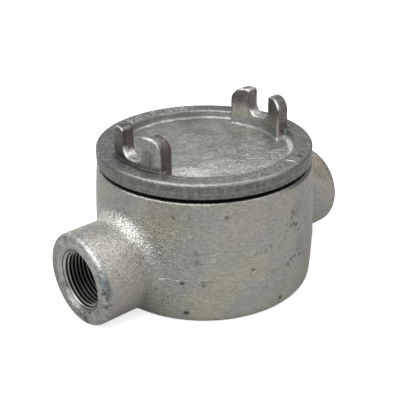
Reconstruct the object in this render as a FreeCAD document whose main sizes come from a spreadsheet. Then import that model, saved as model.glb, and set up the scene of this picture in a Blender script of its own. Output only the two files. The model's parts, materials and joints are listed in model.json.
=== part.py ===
"""Round cast junction box with two opposed threaded conduit hubs and a screw-on cover.

Millimetres, +Z up. The origin is the centre of the base and the hubs lie along X.
"""
import FreeCAD, Part
import enum
import math
import os
import Sketcher

# Driving dimensions: name, millimetres, what it sets
SIZES = [
    ("body_height", 57.1, "base to the machined rim that the seal lies on"),
    ("body_rim_diameter", 97.2, "outside of the body at the rim"),
    ("belly_swell", 1.8, "how far the belly, at the casting's parting line, stands out past the rim"),
    ("base_swell", 0.7, "how far the base, before its round, stands out past the rim"),
    ("base_round", 4.5, "round under the body"),
    ("rim_round", 0.8, "broken edge of the body's rim"),
    ("rim_wall", 7.6, "body's wall at the rim, outside the cover thread"),
    ("chamber_wall", 6.9, "body's wall at the belly"),
    ("floor_thickness", 6.0, "floor of the wiring chamber"),
    ("chamber_round", 2.2, "round between floor and wall inside"),
    ("hub_reach", 21.95, "hub's face beyond the belly"),
    ("hub_wall", 7.52, "hub's wall at its face, outside the conduit thread"),
    ("hub_draft", 0.3, "how far a hub grows from its face to the body's axis"),
    ("hub_base_gap", 0.6, "lowest line of a hub above the base"),
    ("hub_end_round", 2.8, "round at the outer edge of a hub's face"),
    ("hub_root_round", 6.5, "blend between hub and body"),
    ("conduit_thread_diameter", 26.56, "major diameter of the conduit thread"),
    ("conduit_thread_length", 18.0, "depth of the conduit thread"),
    ("mouth_flare", 1.77, "countersink at a hub's mouth, outside the thread"),
    ("mouth_depth", 1.7, "depth of that countersink"),
    ("bushing_step", 2.88, "smooth throat's wall inside the conduit thread"),
    ("bushing_round", 1.6, "round at the throat's inner lip"),
    ("throat_clearance", 1.4, "chamber wall above the throats, up to the relief of the cover thread"),
    ("flange_set_back", 0.1, "cover's edge inside the body's rim"),
    ("flange_thickness", 6.85, "edge of the cover"),
    ("flange_round", 1.0, "round at the cover's upper edge"),
    ("flange_low_round", 0.6, "round at the cover's lower edge"),
    ("field_margin", 8.3, "raised rim around the sunk field in the cover's face"),
    ("recess_depth", 4.2, "depth of the sunk field"),
    ("recess_round", 1.4, "round at the foot of the field's wall"),
    ("recess_lip_round", 0.7, "broken edge around the field"),
    ("plate_thickness", 6.0, "cover plate under the field"),
    ("thread_depth", 1.35, "depth of the cover thread"),
    ("thread_clearance", 0.25, "radial play of the cover thread"),
    ("thread_runout", 1.5, "cover thread in the body below the plug's end"),
    ("plug_wall", 5.0, "wall of the hollow plug"),
    ("plug_chamfer", 1.2, "lead-in at the plug's end"),
    ("plug_round", 3.0, "round inside the plug under the plate"),
    ("lug_thickness", 6.0, "lug, from its inner to its outer face"),
    ("lug_overlap", 0.8, "how far a lug runs into the rim around the field"),
    ("lug_root", 1.5, "how far a lug is sunk into the cover plate"),
    ("lug_edge_round", 0.8, "broken edges of a lug"),
    ("lug_foot_round", 1.4, "blend between a lug and the field"),
    ("ear_width", 9.7, "each prong of a forked lug"),
    ("ear_height", 14.3, "top of a lug above the rim"),
    ("ear_corner_round", 6.2, "outer top corner of a lug"),
    ("ear_tip_round", 1.7, "top corner of a lug beside its gap"),
    ("notch_width", 12.2, "fork gap for the turning bar"),
    ("notch_rise", 2.4, "bottom of the fork gap above the rim"),
    ("notch_round", 4.6, "corners at the bottom of the fork gap"),
    ("seal_thickness", 1.55, "pressed seal between rim and cover"),
    ("seal_set_back", 1.1, "seal's outer edge inside the cover's edge"),
    ("seal_inset", 1.0, "seal's inner edge outside the opening"),
    ("boss_set_in", 16.5, "earth boss's axis from the chamber's wall, along Y"),
    ("boss_margin", 1.0, "earth boss around the screw's collar"),
    ("boss_height", 4.0, "earth boss above the floor"),
    ("screw_diameter", 4.8, "shank of the earth screw"),
    ("screw_clearance", 0.05, "play of the shank in its hole"),
    ("screw_length", 7.0, "shank below the head"),
    ("screw_end_gap", 1.0, "hole below the screw's tip"),
    ("screw_collar_margin", 1.0, "collar of the screw's head around its hexagon"),
    ("screw_collar_thickness", 1.0, "thickness of that collar"),
    ("screw_hex_diameter", 9.0, "hexagon over its corners"),
    ("screw_hex_height", 3.0, "hexagon above the collar"),
    ("screw_slot_width", 1.2, "driver slot"),
    ("screw_slot_depth", 1.3, "driver slot"),
]

# Sizes worked out from the driving dimensions
WORKED = [
    ("belly_diameter", "Sizes.body_rim_diameter + 2 * Sizes.belly_swell"),
    ("base_diameter", "Sizes.body_rim_diameter + 2 * Sizes.base_swell"),
    ("opening_diameter", "Sizes.body_rim_diameter - 2 * Sizes.rim_wall"),
    ("chamber_diameter", "Worked.belly_diameter - 2 * Sizes.chamber_wall"),
    ("flange_diameter", "Sizes.body_rim_diameter - 2 * Sizes.flange_set_back"),
    ("recess_diameter", "Worked.flange_diameter - 2 * Sizes.field_margin"),
    ("body_rim_radius", "Sizes.body_rim_diameter / 2"),
    ("belly_radius", "Worked.belly_diameter / 2"),
    ("base_radius", "Worked.base_diameter / 2"),
    ("opening_radius", "Worked.opening_diameter / 2"),
    ("chamber_radius", "Worked.chamber_diameter / 2"),
    ("conduit_radius", "Sizes.conduit_thread_diameter / 2"),
    ("hub_end", "Worked.belly_radius + Sizes.hub_reach"),
    ("hub_end_radius", "Worked.conduit_radius + Sizes.hub_wall"),
    ("hub_root_radius", "Worked.hub_end_radius + Sizes.hub_draft"),
    ("hub_axis", "Worked.hub_root_radius + Sizes.hub_base_gap"),
    ("hub_headroom", "Sizes.body_height - Sizes.rim_round - Worked.hub_axis - Worked.hub_root_radius"),
    ("hub_blend", "min(Sizes.hub_root_round; Worked.hub_headroom)"),
    ("conduit_back", "Worked.hub_end - Sizes.conduit_thread_length"),
    ("mouth_radius", "Worked.conduit_radius + Sizes.mouth_flare"),
    ("mouth_back", "Worked.hub_end - Sizes.mouth_depth"),
    ("bushing_radius", "Worked.conduit_radius - Sizes.bushing_step"),
    ("throat_top", "Worked.hub_axis + Worked.bushing_radius + Sizes.bushing_round"),
    ("relief_low", "Worked.throat_top + Sizes.throat_clearance"),
    ("thread_low", "Worked.relief_low + Worked.chamber_radius - Worked.opening_radius"),
    ("flange_radius", "Worked.flange_diameter / 2"),
    ("flange_low", "Sizes.body_height + Sizes.seal_thickness"),
    ("flange_top", "Worked.flange_low + Sizes.flange_thickness"),
    ("recess_radius", "Worked.recess_diameter / 2"),
    ("recess_floor", "Worked.flange_top - Sizes.recess_depth"),
    ("plate_low", "Worked.recess_floor - Sizes.plate_thickness"),
    ("plug_radius", "Worked.opening_radius - Sizes.thread_depth - Sizes.thread_clearance"),
    ("plug_bore", "Worked.plug_radius - Sizes.plug_wall"),
    ("plug_low", "Worked.thread_low + Sizes.thread_runout"),
    ("plug_tip", "Worked.plug_low + Sizes.plug_chamfer"),
    ("plug_tip_radius", "Worked.plug_radius - Sizes.plug_chamfer"),
    ("lug_outer", "Worked.recess_radius + Sizes.lug_overlap"),
    ("lug_inner", "Worked.lug_outer - Sizes.lug_thickness"),
    ("lug_low", "Worked.recess_floor - Sizes.lug_root"),
    ("lug_foot", "Worked.recess_floor + Sizes.lug_foot_round"),
    ("notch_half", "Sizes.notch_width / 2"),
    ("notch_low", "Worked.flange_top + Sizes.notch_rise"),
    ("lug_half", "Worked.notch_half + Sizes.ear_width"),
    ("ear_top", "Worked.flange_top + Sizes.ear_height"),
    ("clear_top", "Worked.ear_top + Sizes.flange_thickness"),
    ("clear_radius", "Worked.flange_diameter"),
    ("seal_outer", "Worked.flange_radius - Sizes.seal_set_back"),
    ("seal_inner", "Worked.opening_radius + Sizes.seal_inset"),
    ("boss_offset", "Worked.chamber_radius - Sizes.boss_set_in"),
    ("boss_low", "Sizes.floor_thickness / 2"),
    ("boss_top", "Sizes.floor_thickness + Sizes.boss_height"),
    ("screw_radius", "Sizes.screw_diameter / 2"),
    ("screw_hole_radius", "Worked.screw_radius + Sizes.screw_clearance"),
    ("screw_hex_radius", "Sizes.screw_hex_diameter / 2"),
    ("screw_collar_radius", "Worked.screw_hex_radius + Sizes.screw_collar_margin"),
    ("boss_radius", "Worked.screw_collar_radius + Sizes.boss_margin"),
    ("screw_tip", "Worked.boss_top - Sizes.screw_length"),
    ("screw_collar_top", "Worked.boss_top + Sizes.screw_collar_thickness"),
    ("screw_top", "Worked.screw_collar_top + Sizes.screw_hex_height"),
    ("screw_slot_low", "Worked.screw_top - Sizes.screw_slot_depth"),
]

FULL_TURN = 360
HUB_COUNT = 2
HEX_SIDES = 6
EDGE_TOLERANCE = 0.05
EDGE_SAMPLES = 9

doc = FreeCAD.newDocument("JunctionBox")


# Sheets
def fill_sheet(name, rows):
    """A sheet with one named cell for each row."""
    sheet = doc.addObject("Spreadsheet::Sheet", name)
    for number, row in enumerate(rows, start=1):
        address = "B%d" % number
        sheet.set("A%d" % number, row[0])
        sheet.set(address, row[1])
        sheet.setAlias(address, row[0])
    doc.recompute()
    return sheet


sizes = fill_sheet("Sizes", [(name, str(size)) for name, size, _ in SIZES])
worked = fill_sheet("Worked", [(name, "=" + formula) for name, formula in WORKED])
driving_names = {row[0] for row in SIZES}


def amount(name):
    """The number behind a sheet name; a minus sign in front turns it round, None is the axis."""
    if name is None:
        return 0.0
    if name.startswith("-"):
        return -amount(name[1:])
    return float(getattr(sizes if name in driving_names else worked, name))


def cell(name):
    """The expression that reads a sheet name."""
    return ("Sizes." if name in driving_names else "Worked.") + name


# Sketches
class At(enum.IntEnum):
    """The point of a geometry that a constraint holds."""

    START = 1
    END = 2
    CENTRE = 3


class Axis(enum.IntEnum):
    """A sketch's own axes. The start of the first is the origin."""

    ACROSS = -1
    UP = -2


def new_body(label):
    body = doc.addObject("PartDesign::Body", label)
    body.Label = label
    return body


def origin_feature(body, role):
    return next(item for item in body.Origin.OriginFeatures if item.Role == role)


def new_sketch(body, name, plane, lift=None):
    """A sketch on one of the body's origin planes, raised along its own Y by a named size."""
    sketch = body.newObject("Sketcher::SketchObject", name)
    sketch.AttachmentSupport = (origin_feature(body, plane), "")
    sketch.MapMode = "FlatFace"
    if lift:
        sketch.setExpression("AttachmentOffset.Base.y", cell(lift))
    return sketch


def bind(sketch, constraint, name):
    index = sketch.addConstraint(constraint)
    sketch.setExpression("Constraints[%d]" % index, cell(name))


def pin_coordinate(sketch, kind, axis, geometry, end, name):
    """Hold one coordinate of a point to a named size, or to an axis."""
    if name is None:
        sketch.addConstraint(Sketcher.Constraint("PointOnObject", geometry, end, axis))
    elif name.startswith("-"):
        turned = Sketcher.Constraint(kind, geometry, end, Axis.ACROSS, At.START, amount(name[1:]))
        bind(sketch, turned, name[1:])
    else:
        straight = Sketcher.Constraint(kind, Axis.ACROSS, At.START, geometry, end, amount(name))
        bind(sketch, straight, name)


def pin_point(sketch, geometry, end, across, up):
    pin_coordinate(sketch, "DistanceX", Axis.UP, geometry, end, across)
    pin_coordinate(sketch, "DistanceY", Axis.ACROSS, geometry, end, up)


def round_corner(before, corner, after, radius):
    """Tangent points and centre of a round between two straight runs."""
    back = (before - corner).normalize()
    ahead = (after - corner).normalize()
    half_angle = back.getAngle(ahead) / 2
    set_back = radius / math.tan(half_angle)
    centre = corner + (back + ahead).normalize() * (radius / math.sin(half_angle))
    return corner + back * set_back, corner + ahead * set_back, centre


def draw_outline(sketch, corners):
    """Closed outline through named corners (across, up), each with an optional named round."""
    points = [FreeCAD.Vector(amount(row[0]), amount(row[1]), 0) for row in corners]
    rounds = [row[2] if len(row) > 2 else None for row in corners]
    count = len(corners)
    arrive = list(points)
    leave = list(points)
    centres = [None] * count
    for index in range(count):
        if rounds[index]:
            before = points[index - 1]
            after = points[(index + 1) % count]
            found = round_corner(before, points[index], after, amount(rounds[index]))
            arrive[index], leave[index], centres[index] = found
    lines = []
    for index in range(count):
        run = Part.LineSegment(leave[index], arrive[(index + 1) % count])
        lines.append(sketch.addGeometry(run))
    for index, row in enumerate(corners):
        before = lines[index - 1]
        after = lines[index]
        if not rounds[index]:
            sketch.addConstraint(Sketcher.Constraint("Coincident", before, At.END, after, At.START))
            pin_point(sketch, after, At.START, row[0], row[1])
            continue
        corner = sketch.addGeometry(Part.Point(points[index]), True)
        sketch.addConstraint(Sketcher.Constraint("PointOnObject", corner, At.START, before))
        sketch.addConstraint(Sketcher.Constraint("PointOnObject", corner, At.START, after))
        pin_point(sketch, corner, At.START, row[0], row[1])
        add_round(sketch, before, after, arrive[index], leave[index], centres[index], rounds[index])


def add_round(sketch, before, after, first, last, centre, radius):
    """Tangent arc from the end of one line to the start of the next."""
    turn_first = math.atan2(first.y - centre.y, first.x - centre.x)
    turn_last = math.atan2(last.y - centre.y, last.x - centre.x)
    anticlockwise = (turn_last - turn_first) % (2 * math.pi) < math.pi
    low, high = (turn_first, turn_last) if anticlockwise else (turn_last, turn_first)
    circle = Part.Circle(centre, FreeCAD.Vector(0, 0, 1), amount(radius))
    arc = sketch.addGeometry(Part.ArcOfCircle(circle, low, high if high > low else high + 2 * math.pi))
    entry, leaving = (At.START, At.END) if anticlockwise else (At.END, At.START)
    sketch.addConstraint(Sketcher.Constraint("Tangent", before, At.END, arc, entry))
    sketch.addConstraint(Sketcher.Constraint("Tangent", arc, leaving, after, At.START))
    bind(sketch, Sketcher.Constraint("Radius", arc, amount(radius)), radius)


# Features
def turn(body, kind, name, sketch, axis="V_Axis"):
    """Revolution or Groove of a whole turn about a sketch axis."""
    feature = body.newObject("PartDesign::" + kind, name)
    feature.Profile = sketch
    feature.ReferenceAxis = (sketch, [axis])
    feature.Angle = FULL_TURN
    doc.recompute()
    return feature


def pair(body, name, feature):
    """The same feature again on the opposite side."""
    pattern = body.newObject("PartDesign::PolarPattern", name)
    pattern.Originals = [feature]
    pattern.Axis = (origin_feature(body, "Z_Axis"), [""])
    pattern.Angle = FULL_TURN
    pattern.Occurrences = HUB_COUNT
    body.Tip = pattern
    doc.recompute()
    return pattern


def edges_where(feature, test):
    """Names of the edges of which every sample point between the ends passes the test."""
    names = []
    for number, edge in enumerate(feature.Shape.Edges, start=1):
        if edge.Degenerated:
            continue
        if all(test(point) for point in edge.discretize(EDGE_SAMPLES)[1:-1]):
            names.append("Edge%d" % number)
    return names


def soften(body, name, feature, test, radius):
    """Fillet of the edges that a test picks."""
    fillet = body.newObject("PartDesign::Fillet", name)
    fillet.Base = (feature, edges_where(feature, test))
    fillet.setExpression("Radius", cell(radius))
    doc.recompute()
    return fillet


def near(first, second):
    return abs(first - second) < EDGE_TOLERANCE


def from_axis(point):
    return math.hypot(point.x, point.y)


def from_hub_axis(point):
    return math.hypot(point.y, point.z - amount("hub_axis"))


# Body casting
def draw_casting(sketch):
    """Half section of the outside: base, two drafted sides that meet at the belly, rim."""
    base = FreeCAD.Vector(amount("base_radius"), 0, 0)
    belly = FreeCAD.Vector(amount("belly_radius"), amount("hub_axis"), 0)
    rim = FreeCAD.Vector(amount("body_rim_radius"), amount("body_height"), 0)
    top = FreeCAD.Vector(0, rim.y, 0)
    bottom = sketch.addGeometry(Part.LineSegment(FreeCAD.Vector(), base))
    lower = sketch.addGeometry(draft_arc(base, belly))
    upper = sketch.addGeometry(draft_arc(rim, belly))
    face = sketch.addGeometry(Part.LineSegment(rim, top))
    middle = sketch.addGeometry(Part.LineSegment(top, FreeCAD.Vector()))
    runs = [bottom, lower, upper, face, middle]
    for first, second in zip(runs, runs[1:] + runs[:1]):
        sketch.addConstraint(Sketcher.Constraint("Coincident", first, At.END, second, At.START))
    pin_point(sketch, bottom, At.START, None, None)
    pin_point(sketch, bottom, At.END, "base_radius", None)
    pin_point(sketch, upper, At.START, "belly_radius", "hub_axis")
    pin_point(sketch, face, At.START, "body_rim_radius", "body_height")
    pin_point(sketch, face, At.END, None, "body_height")
    for side in (lower, upper):
        pin_coordinate(sketch, "DistanceY", Axis.ACROSS, side, At.CENTRE, "hub_axis")


def draft_arc(end, belly):
    """Long arc that stands upright at the belly and leans in to its other end."""
    rise = end.y - belly.y
    lean = belly.x - end.x
    radius = (rise * rise + lean * lean) / (2 * lean)
    centre = FreeCAD.Vector(belly.x - radius, belly.y, 0)
    swing = math.atan2(rise, end.x - centre.x)
    circle = Part.Circle(centre, FreeCAD.Vector(0, 0, 1), radius)
    return Part.ArcOfCircle(circle, min(swing, 0), max(swing, 0))


def on_base_edge(point):
    return near(point.z, 0) and near(from_axis(point), amount("base_radius"))


def on_body_rim(point):
    return near(point.z, amount("body_height")) and near(from_axis(point), amount("body_rim_radius"))


def on_hub_root(point):
    """Where a hub's drafted side runs into the body."""
    slack = amount("hub_root_radius") - amount("hub_end_radius") + EDGE_TOLERANCE
    on_hub = abs(from_hub_axis(point) - amount("hub_root_radius")) < slack
    inside = amount("base_radius") - amount("base_round")
    return on_hub and inside < from_axis(point) < amount("belly_radius") + EDGE_TOLERANCE


def on_throat_lip(point):
    return near(from_hub_axis(point), amount("bushing_radius")) and from_axis(point) < amount("belly_radius")


def make_body():
    body = new_body("box_body")
    sketch = new_sketch(body, "casting_section", "XZ_Plane")
    draw_casting(sketch)
    casting = turn(body, "Revolution", "casting", sketch)
    casting = soften(body, "base_edge", casting, on_base_edge, "base_round")

    sketch = new_sketch(body, "hub_section", "XZ_Plane", lift="hub_axis")
    draw_outline(sketch, [
        (None, None),
        ("hub_end", None),
        ("hub_end", "hub_end_radius", "hub_end_round"),
        (None, "hub_root_radius"),
    ])
    hub = turn(body, "Revolution", "hub", sketch, axis="H_Axis")
    hubs = pair(body, "hubs", hub)
    blended = soften(body, "hub_roots", hubs, on_hub_root, "hub_blend")
    soften(body, "rim_edge", blended, on_body_rim, "rim_round")

    sketch = new_sketch(body, "chamber_section", "XZ_Plane")
    draw_outline(sketch, [
        (None, "floor_thickness"),
        ("chamber_radius", "floor_thickness", "chamber_round"),
        ("chamber_radius", "relief_low"),
        ("opening_radius", "thread_low"),
        ("opening_radius", "flange_top"),
        (None, "flange_top"),
    ])
    turn(body, "Groove", "chamber", sketch)

    sketch = new_sketch(body, "conduit_section", "XZ_Plane", lift="hub_axis")
    draw_outline(sketch, [
        (None, None),
        ("hub_end", None),
        ("hub_end", "mouth_radius"),
        ("mouth_back", "conduit_radius"),
        ("conduit_back", "conduit_radius"),
        ("conduit_back", "bushing_radius"),
        (None, "bushing_radius"),
    ])
    bore = turn(body, "Groove", "conduit_bore", sketch, axis="H_Axis")
    bores = pair(body, "conduit_bores", bore)
    soften(body, "throat_lips", bores, on_throat_lip, "bushing_round")
    add_earth_boss(body)
    return body


def draw_circle(sketch, radius, along):
    """Circle of a named radius with its centre on the sketch's Y axis."""
    centre = FreeCAD.Vector(0, amount(along), 0)
    ring = sketch.addGeometry(Part.Circle(centre, FreeCAD.Vector(0, 0, 1), amount(radius)))
    pin_point(sketch, ring, At.CENTRE, None, along)
    bind(sketch, Sketcher.Constraint("Radius", ring, amount(radius)), radius)


def add_earth_boss(body):
    """Round boss on the chamber floor, with the blind hole for the earth screw."""
    sketch = new_sketch(body, "boss_section", "XY_Plane")
    draw_circle(sketch, "boss_radius", "boss_offset")
    sketch.setExpression("AttachmentOffset.Base.z", "Worked.boss_low")
    boss = body.newObject("PartDesign::Pad", "earth_boss")
    boss.Profile = sketch
    boss.setExpression("Length", "Worked.boss_top - Worked.boss_low")
    doc.recompute()

    sketch = new_sketch(body, "screw_hole_section", "XY_Plane")
    draw_circle(sketch, "screw_hole_radius", "boss_offset")
    sketch.setExpression("AttachmentOffset.Base.z", "Worked.boss_top")
    hole = body.newObject("PartDesign::Pocket", "screw_hole")
    hole.Profile = sketch
    hole.setExpression("Length", "Sizes.screw_length + Sizes.screw_end_gap")
    doc.recompute()


# Cover casting
def on_lug_outline(point):
    """The outlines of a lug's inner and outer faces, without the flat cut under it."""
    radius = from_axis(point)
    if near(radius, amount("lug_outer")):
        return not near(point.z, amount("lug_low"))
    return near(radius, amount("lug_inner")) and not near(point.z, amount("lug_foot"))


def make_cover():
    body = new_body("cover")
    sketch = new_sketch(body, "fork_section", "YZ_Plane")
    draw_outline(sketch, [
        ("-lug_half", "lug_low"),
        ("lug_half", "lug_low"),
        ("lug_half", "ear_top", "ear_corner_round"),
        ("notch_half", "ear_top", "ear_tip_round"),
        ("notch_half", "notch_low", "notch_round"),
        ("-notch_half", "notch_low", "notch_round"),
        ("-notch_half", "ear_top", "ear_tip_round"),
        ("-lug_half", "ear_top", "ear_corner_round"),
    ])
    forks = body.newObject("PartDesign::Pad", "forks")
    forks.Profile = sketch
    forks.Midplane = True
    forks.setExpression("Length", "Worked.flange_diameter")
    doc.recompute()

    sketch = new_sketch(body, "fork_inside_section", "XZ_Plane")
    draw_outline(sketch, [
        (None, "recess_floor"),
        ("lug_inner", "recess_floor", "lug_foot_round"),
        ("lug_inner", "clear_top"),
        (None, "clear_top"),
    ])
    turn(body, "Groove", "fork_inside", sketch)
    sketch = new_sketch(body, "fork_outside_section", "XZ_Plane")
    draw_outline(sketch, [
        ("lug_outer", "plug_low"),
        ("clear_radius", "plug_low"),
        ("clear_radius", "clear_top"),
        ("lug_outer", "clear_top"),
    ])
    lugs = turn(body, "Groove", "fork_outside", sketch)
    soften(body, "lug_edges", lugs, on_lug_outline, "lug_edge_round")

    sketch = new_sketch(body, "cover_section", "XZ_Plane")
    draw_outline(sketch, [
        (None, "plate_low"),
        ("plug_bore", "plate_low", "plug_round"),
        ("plug_bore", "plug_low"),
        ("plug_tip_radius", "plug_low"),
        ("plug_radius", "plug_tip"),
        ("plug_radius", "flange_low"),
        ("flange_radius", "flange_low", "flange_low_round"),
        ("flange_radius", "flange_top", "flange_round"),
        ("recess_radius", "flange_top", "recess_lip_round"),
        ("recess_radius", "recess_floor", "recess_round"),
        (None, "recess_floor"),
    ])
    turn(body, "Revolution", "dished_plug", sketch)
    return body


# Seal ring
def make_seal():
    body = new_body("seal_ring")
    sketch = new_sketch(body, "seal_section", "XZ_Plane")
    draw_outline(sketch, [
        ("seal_inner", "body_height"),
        ("seal_outer", "body_height"),
        ("seal_outer", "flange_low"),
        ("seal_inner", "flange_low"),
    ])
    turn(body, "Revolution", "seal", sketch)
    return body


# Earth screw
def place(item, low, half_width=None):
    """Stand a piece on the boss's axis at a named height, set back by half its named width."""
    set_back = " - " + cell(half_width) + " / 2" if half_width else ""
    item.setExpression("Placement.Base.y", cell("boss_offset") + set_back)
    item.setExpression("Placement.Base.z", cell(low))
    return item


def cylinder(name, radius, height, low):
    item = doc.addObject("Part::Cylinder", name)
    item.setExpression("Radius", cell(radius))
    item.setExpression("Height", cell(height))
    return place(item, low)


def make_screw():
    shank = cylinder("screw_shank", "screw_radius", "screw_length", "screw_tip")
    collar = cylinder("screw_collar", "screw_collar_radius", "screw_collar_thickness", "boss_top")
    hexagon = place(doc.addObject("Part::Prism", "screw_hexagon"), "screw_collar_top")
    hexagon.Polygon = HEX_SIDES
    hexagon.setExpression("Circumradius", cell("screw_hex_radius"))
    hexagon.setExpression("Height", cell("screw_hex_height"))
    blank = doc.addObject("Part::MultiFuse", "screw_blank")
    blank.Shapes = [shank, collar, hexagon]
    slot = place(doc.addObject("Part::Box", "screw_slot"), "screw_slot_low", "screw_slot_width")
    slot.setExpression("Length", cell("screw_hex_diameter"))
    slot.setExpression("Width", cell("screw_slot_width"))
    slot.setExpression("Height", cell("screw_slot_depth"))
    slot.setExpression("Placement.Base.x", "-" + cell("screw_hex_radius"))
    screw = doc.addObject("Part::Cut", "ground_screw")
    screw.Base = blank
    screw.Tool = slot
    screw.Label = "ground_screw"
    return screw


# Hand over
def write_parts(parts):
    """Check every object of the document, then write one file for each piece."""
    doc.recompute()
    failed = [item.Label for item in doc.Objects if {"Invalid", "Error"} & set(item.State)]
    failed += [item.Label for item in parts if item.Shape.isNull() or not item.Shape.isValid()]
    if failed:
        raise RuntimeError("not built: " + ", ".join(failed))
    os.makedirs("parts", exist_ok=True)
    for item in parts:
        item.Shape.exportStep("parts/%s.step" % item.Label)


write_parts([make_body(), make_cover(), make_seal(), make_screw()])
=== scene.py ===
"""Looks for a cast round junction box: plated iron body, bare aluminium cover, threads, seal and studio."""
import json
import math

import bmesh
import bpy
from mathutils import Matrix, Vector
from mathutils.bvhtree import BVHTree
from mathutils.noise import noise as noise_at


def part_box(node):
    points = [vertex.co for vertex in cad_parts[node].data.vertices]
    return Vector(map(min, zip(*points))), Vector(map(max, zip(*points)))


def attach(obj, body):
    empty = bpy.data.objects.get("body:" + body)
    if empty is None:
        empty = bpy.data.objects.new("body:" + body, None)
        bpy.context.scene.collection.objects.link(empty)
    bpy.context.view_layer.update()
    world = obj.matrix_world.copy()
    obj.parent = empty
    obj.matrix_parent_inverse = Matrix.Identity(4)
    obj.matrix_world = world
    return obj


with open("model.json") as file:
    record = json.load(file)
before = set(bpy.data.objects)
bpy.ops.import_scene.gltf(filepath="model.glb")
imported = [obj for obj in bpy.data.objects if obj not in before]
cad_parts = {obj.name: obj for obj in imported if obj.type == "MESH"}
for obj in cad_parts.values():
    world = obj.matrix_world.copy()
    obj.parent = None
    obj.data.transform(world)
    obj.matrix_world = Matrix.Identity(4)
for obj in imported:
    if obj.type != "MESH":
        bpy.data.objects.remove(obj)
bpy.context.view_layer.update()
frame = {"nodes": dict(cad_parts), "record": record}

MM = 0.001
WELD = 0.001 * MM
FULL_TURN = 2 * math.pi

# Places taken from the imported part
BODY_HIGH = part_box("box_body")[1]
COVER_LOW, COVER_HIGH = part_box("cover")
SEAL_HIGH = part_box("seal_ring")[1]
HUB = next(mount for mount in frame["record"]["mounts"] if mount["name"] == "hub_right")
HUB_AXIS = HUB["pos_m"][2]
HUB_BORE = HUB["dims"]["r_mm"] * MM
HUB_THREAD_LOW = HUB["pos_m"][0] - HUB["dims"]["length_mm"] * MM / 2
HUB_THREAD_HIGH = HUB["pos_m"][0] + HUB["dims"]["length_mm"] * MM / 2
HUB_FACE = BODY_HIGH.x
RIM_TOP = BODY_HIGH.z
BELLY = BODY_HIGH.y
FLANGE = COVER_HIGH.y
COVER_PITCH = frame["record"]["behaviour"]["couplings"][0]["ratio"] * FULL_TURN

# Sizes of the casting that the finishes follow
HUB_MOUTH = 15.05 * MM
HUB_END_ROUND = 2.8 * MM
OPENING_BORE = 41.0 * MM
OPENING_THREAD_LOW = 38.2 * MM
FLANGE_TOP = SEAL_HIGH.z + 6.85 * MM
FIELD = 40.2 * MM
FIELD_FLOOR = FLANGE_TOP - 4.2 * MM
LUG_OUTER = 41.0 * MM
LUG_HALF = 15.8 * MM
PLUG = 39.4 * MM

# Threads
HUB_PITCH = 1.814 * MM
HUB_THREAD_DEPTH = 1.4 * MM
HUB_CREST = 0.2 * MM
COVER_THREAD_DEPTH = 1.3 * MM
COVER_CREST = 0.6 * MM
PLUG_LEAD_IN = 1.2 * MM
THREAD_SINK = 0.06 * MM
FLANK_SLOPE = math.tan(math.radians(30))
STEPS_A_TURN = 64
RUN_OUT_PITCHES = 0.75
RUN_OUT_TRIES = 8


# Mesh helpers
def add_object(name, data):
    made = bpy.data.objects.new(name, data)
    bpy.context.scene.collection.objects.link(made)
    return made


def finish_piece(bm, name, body, material):
    """Merge, turn the faces outwards and hand the mesh to its body."""
    bmesh.ops.remove_doubles(bm, verts=bm.verts, dist=WELD)
    bmesh.ops.recalc_face_normals(bm, faces=bm.faces)
    mesh = bpy.data.meshes.new(name)
    bm.to_mesh(mesh)
    bm.free()
    piece = add_object(name, mesh)
    mesh.materials.append(material)
    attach(piece, body)
    return piece


def spin_section(bm, section, start_angle, sweep, steps, rise=0.0):
    """Add a closed section of (radius, height) points, turned about Z and raised a little at each step."""
    along = Vector((math.cos(start_angle), math.sin(start_angle), 0))
    face = bm.faces.new([bm.verts.new(along * radius + Vector((0, 0, height))) for radius, height in section])
    bmesh.ops.spin(
        bm, geom=list(face.verts) + list(face.edges) + [face], cent=(0, 0, 0), axis=(0, 0, 1),
        dvec=(0, 0, rise), angle=sweep, steps=steps,
    )


def thread_ridge(wall, depth, crest, pitch, low, high, start_angle=0.0):
    """Right-hand ridge about Z, its ends cut off by a cone; a negative depth points inwards from the wall."""
    foot = wall - math.copysign(THREAD_SINK, depth)
    half_crest = crest / 2
    half_foot = half_crest + (abs(depth) + THREAD_SINK) * FLANK_SLOPE
    first = low - pitch / 2
    steps = round((high - low + pitch) / pitch * STEPS_A_TURN)
    section = [
        (foot, first - half_foot),
        (wall + depth, first - half_crest),
        (wall + depth, first + half_crest),
        (foot, first + half_foot),
    ]
    bm = bmesh.new()
    spin_section(bm, section, start_angle, FULL_TURN * steps / STEPS_A_TURN, steps, pitch / STEPS_A_TURN)
    run_out = RUN_OUT_PITCHES * pitch
    for vert in bm.verts:
        radius = math.hypot(vert.co.x, vert.co.y)
        turned = (math.atan2(vert.co.y, vert.co.x) - start_angle) / FULL_TURN
        lean = math.remainder((vert.co.z - first) / pitch - turned, 1)
        flank = math.copysign(abs(radius - foot) * FLANK_SLOPE, lean)
        height = min(max(vert.co.z, low), high)
        for _ in range(RUN_OUT_TRIES):
            share = min(1, (height - low) / run_out, (high - height) / run_out)
            height = min(max(vert.co.z + (1 - share) * flank, low), high)
        vert.co.z = height
        vert.co.xy *= (foot + (radius - foot) * share) / radius
    bmesh.ops.dissolve_degenerate(bm, edges=bm.edges, dist=WELD)
    return bm


# Shader helpers
def feed(tree, socket, value):
    """Link an output into a socket, or set the socket to a plain value."""
    if isinstance(value, bpy.types.NodeSocket):
        tree.links.new(value, socket)
    else:
        socket.default_value = value


def node(tree, kind, inputs=None, **settings):
    made = tree.nodes.new(kind)
    for name, value in settings.items():
        setattr(made, name, value)
    for socket, value in (inputs or {}).items():
        feed(tree, made.inputs[socket], value)
    return made


def maths(tree, operation, first, second=0.0, clamp=False):
    made = node(tree, "ShaderNodeMath", {0: first, 1: second}, operation=operation, use_clamp=clamp)
    return made.outputs[0]


def times(tree, first, *others):
    """Product of values; of masks, the place where all of them hold."""
    for other in others:
        first = maths(tree, "MULTIPLY", first, other)
    return first


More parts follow.
